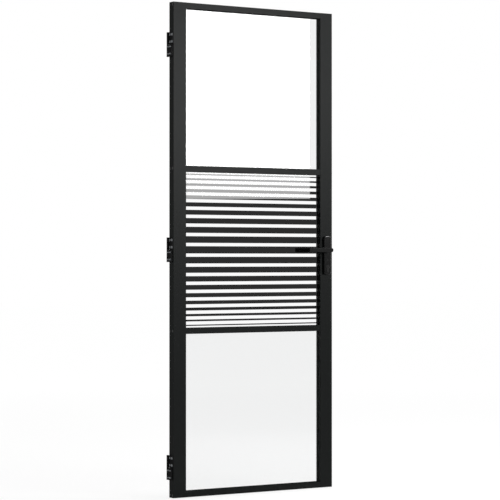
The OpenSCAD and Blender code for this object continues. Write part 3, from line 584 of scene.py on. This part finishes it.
drive_screws(
    "backplate_screws", "leaf", "black_steel", "plate_screws",
    [(lever_axis_x, plate_low.y, z) for z in plate_screw_zs], (-quarter_turn, 0.0, 0.0), black_plate,
    screw_mesh(
        "backplate_screw", shank_r=0.002, head_r=plate_head_r, length=plate_high.y - plate_low.y,
        pitch=0.0007, recess="hexagon", recess_size=0.0017, recess_depth=0.0015,
    ),
)

# Studio: a pale floor that runs out into a white set behind the door, and a grey room in front.
# The floor is a little brighter to the eye than to the part, and it keeps the door's shadow.
floor_mesh = bpy.data.meshes.new("studio_floor")
reach, floor_drop = 30.0, 0.002
floor_mesh.from_pydata(
    [(-reach, -reach, 0.0), (reach, -reach, 0.0), (reach, reach, 0.0), (-reach, reach, 0.0)],
    [], [(0, 1, 2, 3)],
)
floor = bpy.data.objects.new("studio_floor", floor_mesh)
floor.location.z = -floor_drop
bpy.context.scene.collection.objects.link(floor)
floor_paper, paper_tree, paper_shader, paper_place = material_with("studio_paper")
floor_mesh.materials.append(floor_paper)
paper_shader.inputs["Roughness"].default_value = 0.9
paper_shader.inputs["Specular IOR Level"].default_value = 0.0
paper_shader.inputs["Emission Color"].default_value = (1.0, 1.0, 1.0, 1.0)


def white_seen(tree, place):
    """One where a ray sees white: all round, but once mirrored only on the far side of the door."""
    set_edge = 0.1
    path = tree.nodes.new("ShaderNodeLightPath")
    seen = sum_in(tree, "MAXIMUM", path.outputs["Is Camera Ray"], path.outputs["Is Glossy Ray"])
    seen = sum_in(tree, "MAXIMUM", seen, path.outputs["Is Transmission Ray"])
    direct = sum_in(tree, "LESS_THAN", path.outputs["Glossy Depth"], 0.5)
    depth = tree.nodes.new("ShaderNodeSeparateXYZ")
    tree.links.new(place, depth.inputs[0])
    behind = tree.nodes.new("ShaderNodeMapRange")
    behind.inputs["From Min"].default_value = -set_edge
    behind.inputs["From Max"].default_value = set_edge
    tree.links.new(depth.outputs["Y"], behind.inputs["Value"])
    return sum_in(tree, "MULTIPLY", seen, sum_in(tree, "MAXIMUM", direct, behind.outputs["Result"]))


paper_seen = white_seen(paper_tree, paper_place)
paper_tone = paper_tree.nodes.new("ShaderNodeMix")
paper_tone.data_type = "RGBA"
paper_tree.links.new(paper_seen, paper_tone.inputs["Factor"])
paper_to_part, paper_to_eye = (0.8, 0.8, 0.8, 1.0), (0.25, 0.25, 0.25, 1.0)
paper_tone.inputs["A"].default_value = paper_to_part
paper_tone.inputs["B"].default_value = paper_to_eye
paper_tree.links.new(paper_tone.outputs["Result"], paper_shader.inputs["Base Color"])
from_door = paper_tree.nodes.new("ShaderNodeVectorMath")
from_door.operation = "LENGTH"
paper_tree.links.new(paper_place, from_door.inputs[0])
white_from, glow_near, glow_far = 7.0, 0.80, 0.89
run_out = paper_tree.nodes.new("ShaderNodeMapRange")
run_out.inputs["From Max"].default_value = white_from
run_out.inputs["To Min"].default_value = glow_near
run_out.inputs["To Max"].default_value = glow_far
paper_tree.links.new(from_door.outputs["Value"], run_out.inputs["Value"])
paper_glow = sum_in(paper_tree, "MULTIPLY", paper_seen, run_out.outputs["Result"])
paper_tree.links.new(paper_glow, paper_shader.inputs["Emission Strength"])

world = bpy.data.worlds.new("studio")
bpy.context.scene.world = world
world.use_nodes = True
sky = world.node_tree
sky.nodes.clear()


def backdrop(level):
    """A plain backdrop of this grey."""
    shade = sky.nodes.new("ShaderNodeBackground")
    shade.inputs["Color"].default_value = (level, level, level, 1.0)
    return shade.outputs[0]


def choose(share, first, second):
    """The second backdrop where the share is one, and the first where it is nought."""
    mix = sky.nodes.new("ShaderNodeMixShader")
    for value, socket in zip((share, first, second), mix.inputs):
        sky.links.new(value, socket)
    return mix.outputs[0]


ray_way = sky.nodes.new("ShaderNodeTexCoord").outputs["Generated"]
room_grey, set_white = 0.43, 1.0
surround = choose(white_seen(sky, ray_way), backdrop(room_grey), backdrop(set_white))
sky.links.new(surround, sky.nodes.new("ShaderNodeOutputWorld").inputs["Surface"])

# Camera: a long lens on the hinge side, a little below the lever and tilted up a touch, where
# the leaf's corners fall as they do in the photograph.
camera_data = bpy.data.cameras.new("camera")
camera = bpy.data.objects.new("camera", camera_data)
bpy.context.scene.collection.objects.link(camera)
bpy.context.scene.camera = camera
camera.location = (-4.4675, -7.0688, 0.9725)
ahead = Vector((0.5332, 0.8460, 0.00417)).normalized()
camera.rotation_euler = ahead.to_track_quat("-Z", "Y").to_euler()
camera_data.sensor_width = 36.0
camera_data.lens = 144.54
camera_data.clip_end = 200.0

# Lamps: a tall softbox that the upper panes mirror to the camera, and a small one overhead. The
# tall one is placed by where its edges show in the glass.


def softbox(name, middle, facing_to, width, height, radiance):
    """A soft rectangular lamp that gives off this radiance towards a point."""
    lamp = bpy.data.lights.new(name, "AREA")
    lamp.shape = "RECTANGLE"
    lamp.size, lamp.size_y = width, height
    lamp.energy = radiance * math.pi * width * height
    box = bpy.data.objects.new(name, lamp)
    bpy.context.scene.collection.objects.link(box)
    box.location = middle
    box.rotation_euler = (Vector(facing_to) - Vector(middle)).to_track_quat("-Z", "Y").to_euler()
    box.visible_camera = False
    return box


mirrored = Vector((ahead.x, -ahead.y, 0.0))
mirror_right = Vector((ahead.y, ahead.x, 0.0))
box_far, pane_far = 3.0, 8.36
box_low, box_high, box_left, box_right = 1.3095, 2.62, -0.95, 0.335
pane_eye = camera.location + ahead * pane_far
pane_eye.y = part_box("middle_pane")[0].y
box_middle = pane_eye + mirrored * box_far + mirror_right * (box_left + box_right) / 2
box_middle.z = (box_low + box_high) / 2
softbox(
    "key_softbox", box_middle, box_middle - mirrored,
    width=box_right - box_left, height=box_high - box_low, radiance=6.9,
)
softbox("top_softbox", (2.15, -0.05, 3.9), (0.3, 0.0, 1.0), width=0.9, height=0.9, radiance=24.0)

bpy.context.scene.view_settings.view_transform = "Standard"
